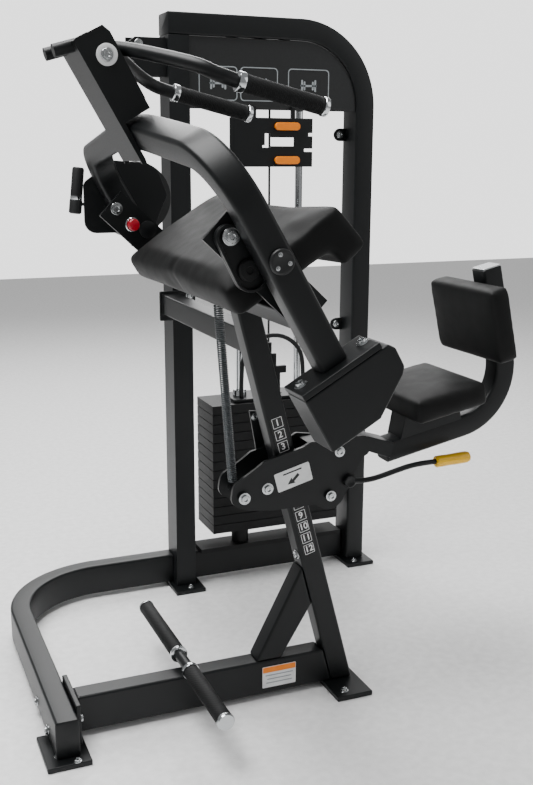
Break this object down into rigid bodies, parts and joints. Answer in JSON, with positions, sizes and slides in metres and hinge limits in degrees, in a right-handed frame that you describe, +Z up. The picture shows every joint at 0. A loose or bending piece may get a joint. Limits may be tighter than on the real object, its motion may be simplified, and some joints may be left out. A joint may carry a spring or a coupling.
{
  "type": "arm curl and arm extension machine",
  "caption": "Seated arm-curl and arm-extension gym machine: weight tower, pivoting yoke arm with swivelling grips, arm pad, sliding seat with back pad and a low bent base.",
  "frame": {"origin": "on the floor, under the middle of the machine's bounding box", "axes": "+Z up; +X towards the user's seat; +Y towards the weight tower, which stands beside the user"},
  "size_m": [1.1172, 1.147, 1.52],
  "materials": {
    "frame_paint": "satin powder coat",
    "panel_sheet": "matt",
    "chrome": "polished",
    "weight_steel": "semi-matt",
    "upholstery": "matt grained",
    "rubber": "matt",
    "wheel_plastic": "matt",
    "orange_plastic": "gloss",
    "yellow_plastic": "gloss",
    "red_plastic": "gloss",
    "cable_jacket": "satin"
  },
  "bodies": {
    "frame": {"base_bent_rail": "frame_paint", "rail_joint_plate": "frame_paint", "front_rail": "frame_paint", "foot_front_left": "frame_paint", "foot_front_right": "frame_paint", "foot_tower_left": "frame_paint", "foot_tower_right": "frame_paint", "tower_left_upright": "frame_paint", "tower_arch": "frame_paint", "tower_base_rail": "frame_paint", "increment_plate": "frame_paint", "post": "frame_paint", "brace": "frame_paint", "side_plate_near": "frame_paint", "side_plate_far": "frame_paint", "cross_beam": "frame_paint", "bumper_plate_near": "frame_paint", "frame_link": "frame_paint", "peg_bar": "frame_paint", "stop_plate": "frame_paint", "pulley_bracket": "frame_paint", "info_panel": "panel_sheet", "guide_rod_left": "chrome", "guide_rod_right": "chrome", "assist_spring": "chrome", "stack_lower": "weight_steel", "arm_pad": "upholstery", "stack_base": "rubber", "peg_sleeve_near": "rubber", "peg_sleeve_far": "rubber", "lift_cable": "cable_jacket"},
    "exercise_arm": {"yoke": "frame_paint", "pivot_shaft_near": "frame_paint", "pivot_shaft_far": "chrome", "yoke_flange": "frame_paint", "counterweight": "frame_paint", "handle_carrier": "frame_paint", "cam": "wheel_plastic"},
    "handles": {"handle_frame": "frame_paint", "grip_near": "rubber", "grip_far": "rubber"},
    "lift_stack": {"stack_upper": "weight_steel", "selector_stem": "weight_steel", "stack_hoop": "frame_paint"},
    "weight_pin": {"selector_pin": "yellow_plastic"},
    "seat_carriage": {"carriage_plate_near": "frame_paint", "carriage_plate_far": "frame_paint", "carriage_axle_left": "chrome", "carriage_axle_right": "chrome", "seat_frame": "frame_paint", "seat_pad": "upholstery", "back_pad": "upholstery"},
    "seat_lever": {"release_lever": "yellow_plastic"},
    "seat_lock": {"lock_pin": "chrome"},
    "range_knob": {"range_pin": "red_plastic"},
    "stop_lever": {"stop_handle": "rubber"},
    "add_on_upper": {"increment_lever_upper": "orange_plastic"},
    "add_on_lower": {"increment_lever_lower": "orange_plastic"},
    "side_pulley": {"pulley_left": "wheel_plastic"},
    "top_pulley": {"pulley_middle": "wheel_plastic"}
  },
  "joints": [
    {"name": "arm_pivot", "type": "hinge", "parent": "frame", "child": "exercise_arm", "pos_m": [-0.1926, 0, 1.01], "axis": [0, 1, 0], "range_deg": [-100, 0]},
    {"name": "handle_pivot", "type": "hinge", "parent": "exercise_arm", "child": "handles", "pos_m": [-0.38273, -0.1385, 1.34938], "axis": [0, 1, 0], "range_deg": [-30, 0]},
    {"name": "stack_lift", "type": "slide", "parent": "frame", "child": "lift_stack", "axis": [0, 0, 1], "range_m": [0, 0.24], "deforming": ["lift_cable"]},
    {"name": "weight_pin_slide", "type": "slide", "parent": "lift_stack", "child": "weight_pin", "axis": [0, -1, 0], "range_m": [0, 0.09]},
    {"name": "seat_height", "type": "slide", "parent": "frame", "child": "seat_carriage", "axis": [-0.2566, 0, 0.9665], "range_m": [-0.1, 0.13], "deforming": ["assist_spring"]},
    {"name": "seat_lever_pivot", "type": "hinge", "parent": "seat_carriage", "child": "seat_lever", "pos_m": [0.1274, -0.1875, 0.492], "axis": [0, 1, 0], "range_deg": [-15, 0], "stiffness_Nm_per_rad": 2},
    {"name": "seat_lock_slide", "type": "slide", "parent": "seat_carriage", "child": "seat_lock", "axis": [0.9665, 0, 0.2566], "range_m": [0, 0.025]},
    {"name": "range_knob_slide", "type": "slide", "parent": "frame", "child": "range_knob", "axis": [0, -1, 0], "range_m": [0, 0.02], "stiffness_N_per_m": 300},
    {"name": "stop_lever_slide", "type": "slide", "parent": "frame", "child": "stop_lever", "axis": [-1, 0, 0], "range_m": [0, 0.02], "stiffness_N_per_m": 300},
    {"name": "add_on_upper_slide", "type": "slide", "parent": "frame", "child": "add_on_upper", "axis": [1, 0, 0], "range_m": [0, 0.03]},
    {"name": "add_on_lower_slide", "type": "slide", "parent": "frame", "child": "add_on_lower", "axis": [1, 0, 0], "range_m": [0, 0.03]},
    {"name": "side_pulley_spin", "type": "hinge", "parent": "frame", "child": "side_pulley", "pos_m": [-0.1166, 0.5005, 1.412], "axis": [0, 1, 0], "range_deg": [-330, 5]},
    {"name": "top_pulley_spin", "type": "hinge", "parent": "frame", "child": "top_pulley", "pos_m": [0.1964, 0.5085, 1.422], "axis": [0, 1, 0], "range_deg": [-440, 5]}
  ],
  "couplings": [
    {"joint": "stack_lift", "follows": "arm_pivot", "m_per_rad": -0.13},
    {"joint": "side_pulley_spin", "follows": "arm_pivot", "ratio": 3.25},
    {"joint": "top_pulley_spin", "follows": "arm_pivot", "ratio": 4.3333},
    {"joint": "seat_lock_slide", "follows": "seat_lever_pivot", "m_per_rad": -0.08}
  ]
}
